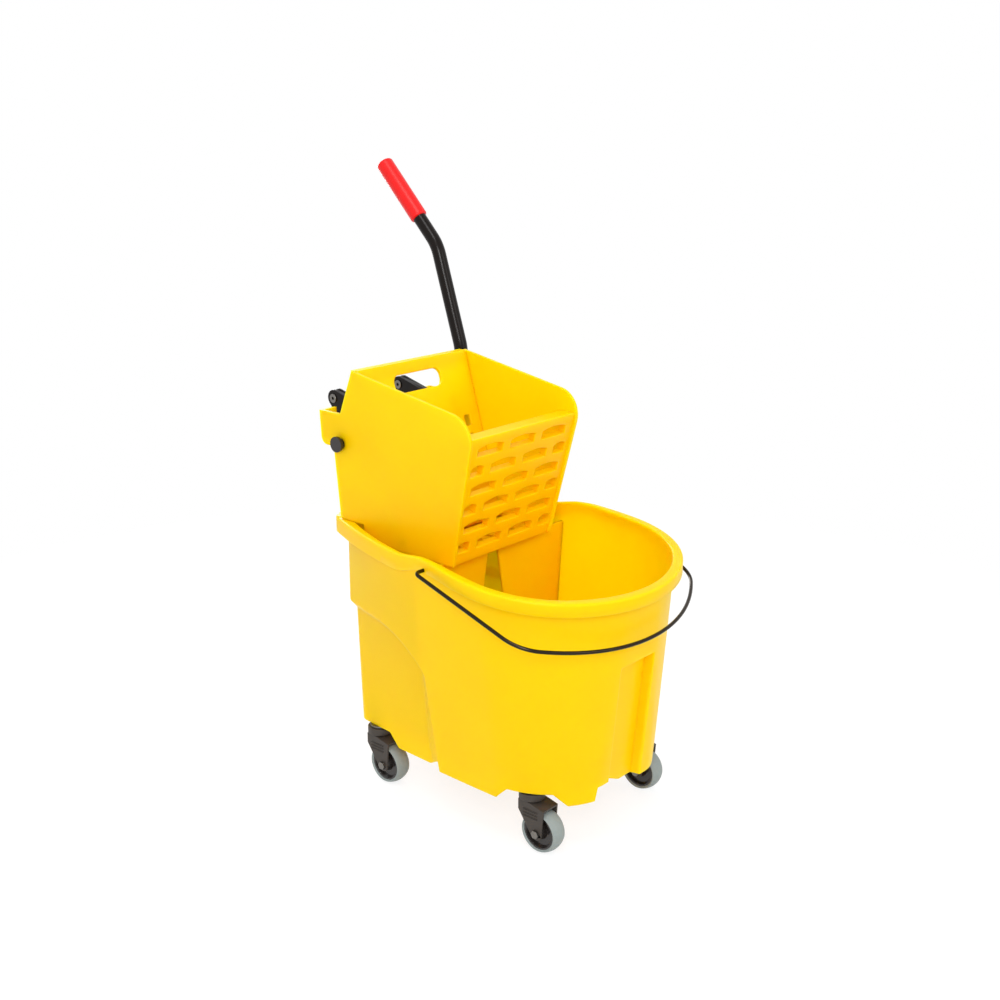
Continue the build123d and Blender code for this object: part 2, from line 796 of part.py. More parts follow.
with BuildPart() as wringer:
    with BuildSketch(near_wall) as wall_face:
        with BuildLine():
            Polyline(*[(along, up / cos(draft)) for along, up in wall_outline], close=True)
        make_face()
        fillet(wall_face.vertices().sort_by(Axis.X)[-1], wringer_nose_round)
        fillet(wall_face.vertices().group_by(Axis.X)[0].sort_by(Axis.Y)[0], bracket_round)
    extrude(amount=-wringer_wall)
    with BuildSketch(level(flange_foot_z)):
        with Locations((bracket_rear_x, -wringer_at(flange_foot_z) + grip_wall)):
            Rectangle(wringer_wall, bracket_flange, align=(Align.MIN, Align.MIN))
    extrude(amount=wringer_notch[1] - flange_foot_z)
    mirror(about=Plane.XZ)
    # Front wall, its level top flange and the rows of arched openings
    with BuildSketch(front_plane):
        with BuildLine():
            Polyline(
                (-wringer_at(wringer_floor_z) + grip_wall, 0),
                (wringer_at(wringer_floor_z) - grip_wall, 0),
                (wringer_at(flange_low_z) - grip_wall, front_height),
                (-wringer_at(flange_low_z) + grip_wall, front_height),
                close=True,
            )
        make_face()
    extrude(amount=-front_wall)
    with BuildSketch(side(0)):
        with BuildLine():
            Polyline(
                (front_top_x, front_wall_top_z),
                (front_top_x - front_flange_depth, front_wall_top_z),
                (front_top_x - front_flange_depth, flange_low_z),
                (front_low_x, flange_low_z),
                close=True,
            )
        make_face()
    extrude(amount=wringer_at(flange_low_z) - grip_wall, both=True)
    with BuildSketch(front_plane):
        for row in range(louvre_rows):
            height = louvre_first + row * louvre_pitch
            if row % 2:
                with Locations((-louvre_spacing, height), (0, height), (louvre_spacing, height)):
                    add(full_louvre)
            else:
                with Locations((-louvre_spacing / 2, height), (louvre_spacing / 2, height)):
                    add(full_louvre)
                with Locations((-half_louvre_place, height), (half_louvre_place, height)):
                    add(half_louvre)
    extrude(amount=-front_wall, mode=Mode.SUBTRACT)
    # Drained floor, the step up to the rear rim, the rear foot and the rear apron
    with BuildSketch(level(wringer_floor_z)):
        with Locations(((wringer_step_x + floor_end_x) / 2, 0)):
            Rectangle(floor_end_x - wringer_step_x, floor_width)
            with GridLocations(0, drain_pitch, 1, drain_count):
                SlotOverall(drain_length, drain_width, mode=Mode.SUBTRACT)
    extrude(amount=wringer_wall)
    with BuildSketch(level(wringer_floor_z)):
        with Locations((wringer_step_x, 0)):
            Rectangle(wringer_wall, floor_width, align=(Align.MIN, Align.CENTER))
    extrude(amount=seat_z + wringer_wall - wringer_floor_z)
    with BuildSketch(level(seat_z)):
        with Locations((wringer_step_x + wringer_wall, 0)):
            Rectangle(
                wringer_step_x + wringer_wall - wringer_rear_x,
                2 * wringer_at(seat_z) - wringer_wall,
                align=(Align.MAX, Align.CENTER),
            )
            Rectangle(
                wringer_step_x - rear_foot_x, 2 * rear_foot_half, align=(Align.MAX, Align.CENTER)
            )
    extrude(amount=wringer_wall)
    with BuildSketch(across_plane(wringer_rear_x)):
        with BuildLine():
            Polyline(
                (-wringer_at(seat_z) + grip_wall, seat_z),
                (wringer_at(seat_z) - grip_wall, seat_z),
                (wringer_at(apron_top_z) - grip_wall, apron_top_z),
                (-wringer_at(apron_top_z) + grip_wall, apron_top_z),
                close=True,
            )
        make_face()
    extrude(amount=wringer_wall)
    # Bores for the shaft, and blind seats for the hinge pins
    with BuildSketch(side(0)):
        with Locations(shaft):
            Circle(shaft_bore)
    extrude(amount=2 * wringer_half, both=True, mode=Mode.SUBTRACT)
    with BuildSketch(side(0)):
        with Locations(hinge):
            Circle(hinge_pin_radius)
    extrude(amount=pin_end, both=True, mode=Mode.SUBTRACT)
wringer.part.label = "wringer_body"
export_step(wringer.part, "parts/wringer_body.step")

# Press plate: leaning plate with a hand-hold under its level rail, weep slots, ribs and a hinge barrel
lean = radians(plate_lean_angle)
press_plane = Plane(
    origin=(stand_shift + hinge[0], 0, hinge[1]), x_dir=(0, 1, 0), z_dir=(cos(lean), 0, sin(lean))
)


def plate_half(up):
    """Half the width of the press plate at a length up from its hinge."""
    return wringer_at(hinge[1] + up * cos(lean)) - wringer_wall / cos(draft) - plate_gap


def on_plate(up, out):
    """Place in the side view: up along the plate and out in front of its hinge."""
    return (hinge[0] - sin(lean) * up + cos(lean) * out, hinge[1] + cos(lean) * up + sin(lean) * out)


plate_back = plate_face - plate_thickness
rail_top_z = on_plate(plate_height, plate_face - rail_depth)[1]
barrel_half = plate_half(-barrel_radius)
rib_offset = (link_thickness + rib_thickness) / 2
link_bolt_out = plate_back - clevis_depth / 2
link_bolt_places = (
    on_plate(link_foot_low + link_bolt_margin, link_bolt_out),
    on_plate(link_foot_high - link_bolt_margin, link_bolt_out),
)
with BuildPart() as press_plate:
    with BuildSketch(press_plane.offset(plate_face)):
        with BuildLine():
            Polyline(
                (-plate_half(plate_foot), plate_foot),
                (plate_half(plate_foot), plate_foot),
                (plate_half(plate_height), plate_height),
                (-plate_half(plate_height), plate_height),
                close=True,
            )
        make_face()
    extrude(amount=-plate_thickness)
    with BuildSketch(press_plane.offset(plate_face)):
        with BuildLine():
            Polyline(
                (-plate_half(plate_height - rail_height), plate_height - rail_height),
                (plate_half(plate_height - rail_height), plate_height - rail_height),
                (plate_half(plate_height), plate_height),
                (-plate_half(plate_height), plate_height),
                close=True,
            )
        make_face()
    extrude(amount=-rail_depth)
    # Upright ribs behind the plate: one along the middle, and a pair gripping each link
    with BuildSketch(press_plane.offset(plate_back)):
        with Locations((0, (rib_low + rib_high) / 2)):
            Rectangle(rib_thickness, rib_high - rib_low)
        for across in (-1, 1):
            with Locations(
                (across * link_y - rib_offset, (rib_low + rib_high) / 2),
                (across * link_y + rib_offset, (rib_low + rib_high) / 2),
            ):
                Rectangle(rib_thickness, rib_high - rib_low)
    extrude(amount=-rib_depth)
    with BuildSketch(press_plane.offset(plate_back)):
        for across in (-1, 1):
            with Locations(
                (across * link_y - rib_offset, (link_foot_low + link_foot_high) / 2),
                (across * link_y + rib_offset, (link_foot_low + link_foot_high) / 2),
            ):
                Rectangle(rib_thickness, link_foot_high - link_foot_low)
    extrude(amount=-clevis_depth)
    with BuildSketch(press_plane.offset(plate_face)):
        with Locations((0, (hold_low + hold_high) / 2)):
            RectangleRounded(2 * hold_half, hold_high - hold_low, hold_round)
        with Locations((0, weep_middle)):
            with GridLocations(weep_spacing, weep_pitch, weep_columns, weep_rows):
                RectangleRounded(weep_width, weep_height, weep_round)
    extrude(amount=-plate_thickness, mode=Mode.SUBTRACT)
    with BuildSketch(level(rail_top_z)):
        Rectangle(4 * lip_half, 4 * lip_half)
    extrude(amount=rail_height, mode=Mode.SUBTRACT)
    with BuildSketch(side(0)):
        with Locations(hinge):
            Circle(barrel_radius)
    extrude(amount=barrel_half, both=True)
    for across in (-1, 1):
        with BuildSketch(side(across * barrel_half)):
            with Locations(hinge):
                Circle(hinge_pin_radius + running_gap)
        extrude(amount=across * (hinge_pin_depth + hinge_pin_spare), mode=Mode.SUBTRACT)
    with BuildSketch(side(0)):
        with Locations(*link_bolt_places):
            Circle(link_bolt_radius)
    extrude(amount=wringer_half, both=True, mode=Mode.SUBTRACT)
press_plate.part.label = "press_plate"
export_step(press_plate.part, "parts/press_plate.step")

# Hinge pins, seated in the side walls and running in the ends of the barrel
for side_name, across in (("near", -1), ("far", 1)):
    with BuildPart() as hinge_pin:
        with BuildSketch(side(across * pin_end)):
            with Locations(hinge):
                Circle(hinge_pin_radius)
        extrude(amount=across * (pin_end - barrel_half + hinge_pin_depth))
    hinge_pin.part.label = f"hinge_pin_{side_name}"
    export_step(hinge_pin.part, f"parts/hinge_pin_{side_name}.step")

# Path of the crank's drive pin as the press plate sees it: the curve of the link's slot
crank_radius = hypot(tail[0] - shaft[0], tail[1] - shaft[1])
crank_start = atan2(tail[1] - shaft[1], tail[0] - shaft[0])
slot_points = []
for step in range(slot_steps + 1):
    turned = blend(-slot_spare_angle, handle_angle + slot_spare_angle, step / slot_steps)
    angle = crank_start - radians(turned)
    back = radians(turned * plate_angle / handle_angle)
    pin_x = shaft[0] + crank_radius * cos(angle) - hinge[0]
    pin_z = shaft[1] + crank_radius * sin(angle) - hinge[1]
    slot_x = hinge[0] + pin_x * cos(back) - pin_z * sin(back)
    slot_z = hinge[1] + pin_x * sin(back) + pin_z * cos(back)
    slot_points.append((slot_x, slot_z))


def slot_band(half_width, across):
    """Round-ended band of a half width along the drive pin's path, at a place across."""
    with BuildSketch(side(across)) as face:
        with BuildLine():
            Spline(*slot_points)
        trace(line_width=2 * half_width)
        with Locations(slot_points[0], slot_points[-1]):
            Circle(half_width)
    return face.sketch


rib_outer = link_thickness / 2 + rib_thickness
crank_inner = link_thickness / 2 + crank_gap
crank_outer = crank_inner + crank_thickness
middle = ((tail[0] + shaft[0]) / 2, (tail[1] + shaft[1]) / 2)
hollow_reach = (crank_hollow + crank_waist) / crank_radius
hollow_centre = (
    middle[0] - (tail[1] - shaft[1]) * hollow_reach,
    middle[1] + (tail[0] - shaft[0]) * hollow_reach,
)
for side_name, across in (("near", -1), ("far", 1)):
    link_face = across * link_y + link_thickness / 2

    # Link: flat steel bolted between the plate's ribs, with the curved slot at its tail
    link_head = slot_band(link_band, link_face)
    link_slot = slot_band(drive_pin_radius + slot_gap, link_face)
    with BuildPart() as link:
        extrude(to_extrude=link_head, amount=link_thickness)
        with BuildSketch(side(link_face)):
            with BuildLine():
                Polyline(
                    on_plate(link_foot_low, plate_back),
                    on_plate(link_foot_high, plate_back),
                    (tail[0], tail[1] + link_band),
                    (tail[0] + link_band / 2, tail[1] - link_band),
                    close=True,
                )
            make_face()
        extrude(amount=link_thickness)
        extrude(to_extrude=link_slot, amount=link_thickness, mode=Mode.SUBTRACT)
        with BuildSketch(side(link_face)):
            with Locations(*link_bolt_places):
                Circle(link_bolt_radius)
        extrude(amount=link_thickness, mode=Mode.SUBTRACT)
    link.part.label = f"link_{side_name}"
    export_step(link.part, f"parts/link_{side_name}.step")

    # Two bolts through the ribs and the link
    with BuildPart() as link_bolts:
        with BuildSketch(side(across * link_y + rib_outer)):
            with Locations(*link_bolt_places):
                Circle(link_bolt_radius)
        extrude(amount=2 * rib_outer)
        for face, outward in ((rib_outer, -1), (-rib_outer, 1)):
            with BuildSketch(side(across * link_y + face)):
                with Locations(*link_bolt_places):
                    RegularPolygon(link_bolt_head, 6)
            extrude(amount=outward * link_bolt_head_height)
    link_bolts.part.label = f"link_bolts_{side_name}"
    export_step(link_bolts.part, f"parts/link_bolts_{side_name}.step")

    # Crank: two stamped plates on the shaft, one on each face of the link
    for plate_name, start in (("inner", -across * crank_inner), ("outer", across * crank_inner)):
        outward = 1 if start > 0 else -1
        with BuildPart() as crank:
            with BuildSketch(side(across * link_y + start)):
                with Locations(tail):
                    Circle(crank_tail_round)
                with Locations(shaft):
                    Circle(crank_boss_round)
                with Locations(crank_shoulder):
                    Circle(crank_shoulder_round)
                make_hull()
                with Locations(hollow_centre):
                    Circle(crank_hollow, mode=Mode.SUBTRACT)
                with Locations(shaft):
                    Circle(crank_boss_round)
                    Circle(shaft_radius, mode=Mode.SUBTRACT)
                with Locations(tail):
                    Circle(crank_tail_round)
                    Circle(drive_pin_radius, mode=Mode.SUBTRACT)
            extrude(amount=-outward * crank_thickness)
        crank.part.label = f"crank_{side_name}_{plate_name}"
        export_step(crank.part, f"parts/crank_{side_name}_{plate_name}.step")

    # Tubular rivet: holds the two crank plates together and runs in the link's slot
    with BuildPart() as drive_pin:
        with BuildSketch(side(across * link_y + crank_outer)):
            with Locations(tail):
                Circle(drive_pin_radius)
        extrude(amount=2 * crank_outer)
        for face, outward in ((crank_outer, -1), (-crank_outer, 1)):
            with BuildSketch(side(across * link_y + face)):
                with Locations(tail):
                    Circle(drive_pin_head)
            extrude(amount=outward * drive_pin_head_height)
        with BuildSketch(side(across * link_y)):
            with Locations(tail):
                Circle(drive_pin_bore)
        extrude(amount=2 * crank_outer, both=True, mode=Mode.SUBTRACT)
    drive_pin.part.label = f"drive_pin_{side_name}"
    export_step(drive_pin.part, f"parts/drive_pin_{side_name}.step")

# Cross shaft through both side walls, out to the handle on the far side
shaft_near = -wringer_at(shaft[1] + cap_radius) - cap_gap - cap_socket
shaft_far = handle_y + collar_half + cap_socket
with BuildPart() as cross_shaft:
    with BuildSketch(side(shaft_near)):
        with Locations(shaft):
            Circle(shaft_radius)
    extrude(amount=shaft_near - shaft_far)
cross_shaft.part.label = "cross_shaft"
export_step(cross_shaft.part, "parts/cross_shaft.step")

# Caps pushed on the two ends of the shaft
for side_name, end, across in (("near", shaft_near, -1), ("far", shaft_far, 1)):
    with BuildPart() as cap:
        with BuildSketch(side(end - across * cap_socket)):
            with Locations(shaft):
                Circle(cap_radius)
        extrude(amount=-across * cap_thickness)
        fillet(cap.edges().filter_by(GeomType.CIRCLE).group_by(Axis.Y)[across], cap_thickness / 3)
        with BuildSketch(side(end)):
            with Locations(shaft):
                Circle(shaft_radius)
        extrude(amount=across * cap_socket, mode=Mode.SUBTRACT)
    cap.part.label = f"shaft_cap_{side_name}"
    export_step(cap.part, f"parts/shaft_cap_{side_name}.step")

# Handle collar: turns with the shaft and takes the foot of the handle tube
neck_line = Plane(origin=(stand_shift + shaft[0], handle_y, 0))
with BuildPart() as collar:
    with BuildSketch(side(handle_y)):
        with Locations(shaft):
            Circle(collar_radius)
    extrude(amount=collar_half, both=True)
    with BuildSketch(neck_line.offset(shaft[1])):
        Circle(neck_radius)
    extrude(amount=neck_top_z - shaft[1])
    with BuildSketch(side(handle_y)):
        with Locations(shaft):
            Circle(shaft_radius)
        with Locations((shaft[0], handle_bolt_z)):
            Circle(handle_bolt_radius)
    extrude(amount=2 * collar_half, both=True, mode=Mode.SUBTRACT)
    with BuildSketch(neck_line.offset(tube_foot_z)):
        Circle(tube_radius)
    extrude(amount=neck_top_z - tube_foot_z, mode=Mode.SUBTRACT)
collar.part.label = "handle_collar"
export_step(collar.part, "parts/handle_collar.step")

# Handle tube: upright in the collar, then two bends back to the grip
grip_dir = (-sin(grip_lean), cos(grip_lean))
tube_top = (handle_tip[0] - grip_end * grip_dir[0], handle_tip[1] - grip_end * grip_dir[1])
with BuildPart() as handle_tube:
    with BuildLine(side(handle_y)) as tube_path:
        FilletPolyline(
            (shaft[0], tube_foot_z),
            (shaft[0], handle_knee_z),
            handle_bend,
            tube_top,
            radius=handle_bend_round,
        )
    with BuildSketch(neck_line.offset(tube_foot_z)):
        Circle(tube_radius)
        Circle(tube_radius - tube_wall, mode=Mode.SUBTRACT)
    sweep(path=tube_path.wires()[0])
    with BuildSketch(side(handle_y)):
        with Locations((shaft[0], handle_bolt_z)):
            Circle(handle_bolt_radius)
    extrude(amount=2 * tube_radius, both=True, mode=Mode.SUBTRACT)
handle_tube.part.label = "handle_tube"
export_step(handle_tube.part, "parts/handle_tube.step")

# Bolt across the collar and the tube
with BuildPart() as handle_bolt:
    with BuildSketch(side(handle_y + neck_radius)):
        with Locations((shaft[0], handle_bolt_z)):
            Circle(handle_bolt_radius)
    extrude(amount=2 * neck_radius)
    for face, outward in ((neck_radius, -1), (-neck_radius, 1)):
        with BuildSketch(side(handle_y + face)):
            with Locations((shaft[0], handle_bolt_z)):
                Circle(handle_bolt_head)
        extrude(amount=outward * handle_bolt_head_height)
handle_bolt.part.label = "handle_bolt"
export_step(handle_bolt.part, "parts/handle_bolt.step")

# Grip pushed over the end of the tube, with a hanging hole through its closed end
grip_top = Plane(
    origin=(stand_shift + handle_tip[0], handle_y, handle_tip[1]),
    x_dir=(0, 1, 0),
    z_dir=(grip_dir[0], 0, grip_dir[1]),
)
with BuildPart() as grip:
    with BuildSketch(grip_top):
        Circle(grip_radius)
    extrude(amount=-grip_length)
    fillet(grip.edges().filter_by(GeomType.CIRCLE), grip_round)
    with BuildSketch(grip_top.offset(-grip_end)):
        Circle(tube_radius)
    extrude(amount=-grip_length, mode=Mode.SUBTRACT)
    with BuildSketch(grip_top):
        Circle(grip_hole)
    extrude(amount=-grip_end, mode=Mode.SUBTRACT)
grip.part.label = "grip"
export_step(grip.part, "parts/grip.step")
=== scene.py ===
import bmesh
import bpy
import math
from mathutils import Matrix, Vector


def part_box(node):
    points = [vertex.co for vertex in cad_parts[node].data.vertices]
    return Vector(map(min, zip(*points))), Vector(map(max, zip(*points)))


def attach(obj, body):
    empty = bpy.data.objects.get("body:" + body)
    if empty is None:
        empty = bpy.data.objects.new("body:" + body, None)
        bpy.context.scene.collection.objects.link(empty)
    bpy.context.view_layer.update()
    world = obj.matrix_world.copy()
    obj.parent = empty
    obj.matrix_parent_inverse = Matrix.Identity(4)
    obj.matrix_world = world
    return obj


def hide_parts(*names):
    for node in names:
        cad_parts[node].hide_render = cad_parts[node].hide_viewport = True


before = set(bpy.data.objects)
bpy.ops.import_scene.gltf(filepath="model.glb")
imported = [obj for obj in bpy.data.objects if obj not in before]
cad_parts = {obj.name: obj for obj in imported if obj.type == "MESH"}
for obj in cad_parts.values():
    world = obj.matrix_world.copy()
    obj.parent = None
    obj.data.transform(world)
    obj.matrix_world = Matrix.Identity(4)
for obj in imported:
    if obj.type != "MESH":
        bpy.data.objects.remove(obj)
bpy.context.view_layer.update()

# Bucket: one moulded tub of yellow polyethylene with a 4 mm wall, a rolled lip, a recess round its
# lower rear, a flat nose with a hand pocket and a skirt cut away over the casters. Two upright fins
# inside carry the wringer, and four sockets on the floor take the caster stems. Sizes are in mm.
skirt_z, lip_z, crown_z = 71, 395, 440
foot_half, lip_half = 150, 185
foot_front, lip_front = 203, 225
foot_rear, lip_rear = -240, -274
foot_rear_half, lip_rear_half = 140, 99
foot_bow, lip_bow = (70, 25), (56, 40)
rear_round = 22
wall = 4
edge_round = 0.8
floor_under, floor_top, floor_round = 94, 98, 12
lip_out, lip_out_side, lip_out_rear = 11, 2, 26
lip_side_x, lip_full_x = -60, 67
lip_drop_rear, lip_drop = 26, 19
lip_round, lip_round_in = 3.5, 2.5
least_room, hollow_start, hollow_run = 0.2, 1, 4
rim_rear_z, rim_pad_z, rim_front_z = 406, 414, 383
rim_rear_x, rim_pad_x, rim_fall_x = -84, -40, -12
rim_round = (-9, -6, -3, 0, 3, 6, 9)
recess_side, recess_rear, recess_crown_rear = 10, 14, -3.5
recess_top_z, recess_flat_x = 279, -175
recess_corner, recess_foot, recess_brow = 0.3, 0.2, 0.12  # roundings, as shares of its depth
knee_x, knee_z = -50, 224
ledge_height = 12
ramp_foot_x, ramp_knee_run, ramp_foot_run = -34, 18, 30
notch_x, notch_end_x, notch_z = -66, -36, 88
nose_foot_x, nose_top_x, nose_top_z = 193, 224.4, 388
nose_half, nose_crease = 60, 3
pocket_half, pocket_depth, pocket_top_z = 38, 15, 270
pocket_side_run, pocket_top_run = 4, 5
gap_near, gap_top, gap_far, gap_z = -64, -36, 8, 92
swivel_x, swivel_y = (121, -188), 121
arch_foot, arch_top, arch_z = 54, 37, 91
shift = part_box("bucket")[1].x * 1000 - lip_front - lip_out  # from the tub's zero to the frame's


def share_of(value, low, high):
    """How far a value lies from low, 0, to high, 1."""
    return (value - low) / (high - low)


def between(low, high, share):
    """The value at a share of the way from low to high."""
    return low + share * (high - low)


def steps(low, high, count):
    """Equal steps from low towards high, without high itself."""
    return [between(low, high, step / count) for step in range(count)]


def held(value):
    """The value, kept from 0 to 1."""
    return min(1.0, max(0.0, value))


def eased(value):
    """Runs from 0 to 1 as value does, with rounded ends."""
    t = held(value)
    return t * t * (3 - 2 * t)


def soft_min(a, b, width):
    """The lesser of two lengths, with the corner between them rounded."""
    d = max(width - abs(a - b), 0) / width
    return min(a, b) - d * d * width / 4


def rim_at(x):
    """Height of the rim's top: level at the rear, a pad at the bail and a fall to the front."""
    def straight(at):
        if at < rim_fall_x:
            return between(rim_rear_z, rim_pad_z, held(share_of(at, rim_rear_x, rim_pad_x)))
        return between(rim_pad_z, rim_front_z, share_of(at, rim_fall_x, lip_front + lip_out))
    return sum(straight(x + step) for step in rim_round) / len(rim_round)


def recess_at(x, z, grow):
    """How far the wall stands in at a place of the lower rear, from 0 to 1."""
    run = knee_x - recess_flat_x
    fall = recess_top_z - knee_z
    radius = (run * run + fall * fall) / (2 * fall)
    along = min(run, max(0, x - recess_flat_x))
    top = recess_top_z - radius + math.sqrt(radius * radius - along * along)
    down = share_of(z, knee_z, skirt_z)
    ramp_x = between(knee_x, ramp_foot_x, down)
    ramp_run = between(ramp_knee_run, ramp_foot_run, down)
    under = (top + grow - z) / ledge_height
    behind = (ramp_x + grow - x) / ramp_run
    inward = soft_min(soft_min(under, behind, recess_corner), 1, recess_foot)
    return max(0, -soft_min(-inward, 0, recess_brow))


def nose_at(z):
    """Place of the nose's flat at a height."""
    return between(nose_foot_x, nose_top_x, share_of(z, skirt_z, nose_top_z))


def plan(column, z, inset, rear_inset):
    """Place of a column of the tub's plan at a height, moved in by inset and rear_inset."""
    share = share_of(z, skirt_z, lip_z)
    half = between(foot_half, lip_half, share) - inset
    front = between(foot_front, lip_front, share) - inset
    rear = between(foot_rear, lip_rear, share) + rear_inset
    rear_half = between(foot_rear_half, lip_rear_half, share) - inset
    along = between(foot_bow[0], lip_bow[0], share)
    across = between(foot_bow[1], lip_bow[1], share)
    corner = half - across
    nose = corner + math.hypot(along, across)
    turn = math.atan2(across, along)
    corner_x = front - nose + along
    stretch, t, sign = column
    if stretch == "nose":
        return front - nose + math.sqrt(nose * nose - t * t), sign * t
    if stretch == "corner":
        angle = between(math.asin(nose_half / nose), math.pi / 2, t)
        if angle < turn:
            return front - nose + nose * math.cos(angle), sign * nose * math.sin(angle)
        return corner_x + corner * math.cos(angle), sign * (across + corner * math.sin(angle))
    radius = ((corner_x - rear) ** 2 + (half - rear_half) ** 2) / (2 * (half - rear_half))
    middle = half - radius
    round_x = rear + rear_round
    round_y = middle + math.sqrt((radius - rear_round) ** 2 - (round_x - corner_x) ** 2)
    last = math.atan2(corner_x - round_x, round_y - middle)
    if stretch == "side":
        angle = t * last
        return corner_x - radius * math.sin(angle), sign * (middle + radius * math.cos(angle))
    if stretch == "rear_corner":
        angle = between(math.pi / 2 + last, math.pi, t)
        turned = round_y + rear_round * math.sin(angle)
        return round_x + rear_round * math.cos(angle), sign * turned
    return rear, sign * round_y * (1 - t)


def skirt_low(x, y):
    """Lower edge of the skirt, with arches over the casters and notches at the sides and nose."""
    low = skirt_z
    for place in swivel_x:
        away = math.hypot(x - place, abs(y) - swivel_y)
        slope = between(skirt_z, arch_z, share_of(away, arch_foot, arch_top))
        low = max(low, min(arch_z, slope))
    if notch_x < x < notch_end_x:
        low = max(low, between(skirt_z, notch_z, share_of(x, notch_x, notch_end_x)))
    if x > swivel_x[0] and gap_near < y < gap_far:
        low = max(low, min(gap_z, between(gap_z, skirt_z, share_of(y, gap_top, gap_far))))
    return low


def skin(column, z, depth):
    """Point of the tub's wall at a height, on its outside or at a depth under it."""
    x, y = plan(column, z, depth, depth)
    inward = recess_at(x, z, depth)
    if inward > 0:
        rear = between(recess_rear, recess_crown_rear, share_of(z, skirt_z, crown_z))
        x, y = plan(column, z, depth + recess_side * inward, depth + rear * inward)
    if x > swivel_x[0]:
        pocket = eased((pocket_half + depth - abs(y)) / pocket_side_run + 0.5)
        pocket *= eased((pocket_top_z + depth - z) / pocket_top_run + 0.5)
        x = soft_min(x, nose_at(z) - depth - pocket_depth * pocket, nose_crease)
    return x, y, z


def wall_half(x, z, depth):
    """Half the tub's width at a place along its sides, found by halving the side 30 times."""
    low, high = 0.0, 1.0
    for _ in range(30):
        middle = (low + high) / 2
        ahead = skin(("side", middle, 1), z, depth)[0] > x
        low, high = (middle, high) if ahead else (low, middle)
    return skin(("side", low, 1), z, depth)[1]


def lip_point(column, out, reach, under):
    """Point of the rolled lip, at a share of its reach or, below 0, in mm inside the wall."""
    side_out = reach if reach < 0 else out * reach
    back_out = reach if reach < 0 else lip_out_rear * reach
    x, y = plan(column, lip_z, -side_out, -back_out)
    return x, y, rim_at(x) - under


def vertices(mesh, points):
    """New vertices of a mesh at points in millimetres, brought into the frame."""
    return [mesh.verts.new(((x + shift) / 1000, y / 1000, z / 1000)) for x, y, z in points]


# Columns stand close together at the pocket's edges, and rows at the skirt, the lip and the floor.
across_nose = [3 * step for step in range(12)]
across_nose += [35, 36.4, 37.4, 38.4, 39.4, 40.6, 42, 44, 47, 51, 55.5]
half_way = [("nose", y) for y in across_nose]
for stretch, count in (("corner", 74), ("side", 190), ("rear_corner", 14), ("rear", 24)):
    half_way += [(stretch, step) for step in steps(0, 1, count)]
columns = [(*place, 1) for place in half_way + [("rear", 1)]]
columns += [(*place, -1) for place in reversed(half_way[1:])]
outside_low, outside_high, outside_step = 100, 352, 2
inside_high, inside_low, inside_step = 360, 108, -3
quarter = [math.radians(turn) for turn in (0, 22.5, 45, 67.5, 90)]
inner_quarter = [math.radians(turn) for turn in (90, 60, 30, 0)]

shell = bmesh.new()
rings = []
for column in columns:
    at_rear = column[0] in ("rear_corner", "rear")
    x, y, _ = skin(column, floor_under, 0)
    low = skirt_low(x, y)
    lip_x = plan(column, lip_z, 0, 0)[0]
    drop = between(lip_drop_rear, lip_drop, held(share_of(lip_x, rim_rear_x, rim_pad_x)))
    out = between(lip_out_side, lip_out, eased(share_of(lip_x, lip_side_x, lip_full_x)))
    room = lip_out_rear - wall if at_rear else max(least_room, out - wall)
    hollow = (drop - wall) * eased((room - hollow_start) / hollow_run)
    wall_top = rim_at(lip_x) - drop + hollow

    ring = [skin(column, z, wall) for z in steps(floor_under, low, 5)]
    ring += [skin(column, low + edge_round, wall)]
    ring += [skin(column, low, wall - 1), skin(column, low, 1)]
    outside = steps(low + edge_round, outside_low, 10)
    outside += range(outside_low, outside_high, outside_step)
    outside += steps(outside_high, wall_top, 12) + [wall_top]
    ring += [skin(column, z, 0) for z in outside]

    inner = room / (lip_out_rear if at_rear else out)
    edge = lip_round / (lip_out_rear if at_rear else out + wall)
    lip = [(inner * 0.9, drop - hollow), (inner, drop - hollow * 0.95),
           (inner, drop - hollow * 0.05), (between(inner, 1, 0.2), drop),
           (between(inner, 1, 0.8), drop), (1, drop - edge_round), (1, drop / 2)]
    for angle in quarter:
        lip.append((1 - edge + edge * math.cos(angle), lip_round * (1 - math.sin(angle))))
    for angle in inner_quarter:
        back = lip_round_in * (1 - math.cos(angle))
        lip.append((back - wall, lip_round_in * (1 - math.sin(angle))))
    ring += [lip_point(column, out, reach, under) for reach, under in lip]

    inside = steps(ring[-1][2], inside_high, 12)[1:]
    inside += range(inside_high, inside_low, inside_step)
    ring += [skin(column, z, wall) for z in inside]
    for angle in quarter:
        rise = floor_round * (1 - math.sin(angle))
        ring.append(skin(column, floor_top + rise, wall + floor_round * (1 - math.cos(angle))))
    rings.append(vertices(shell, ring))
for here, after in zip(rings, rings[1:] + rings[:1]):
    for a, b, c, d in zip(here, here[1:], after[1:], after):
        shell.faces.new((a, d, c, b))
shell.faces.new([ring[0] for ring in rings])
shell.faces.new([ring[-1] for ring in reversed(rings)])


def band_of(mesh, sections):
    """Skin over a row of closed sections of equal length, capped at both ends."""
    rows = [vertices(mesh, section) for section in sections]
    for here, after in zip(rows, rows[1:]):
        for a, b, c, d in zip(here, here[1:] + here[:1], after[1:] + after[:1], after):
            mesh.faces.new((a, b, c, d))
    mesh.faces.new(rows[0])
    mesh.faces.new(list(reversed(rows[-1])))


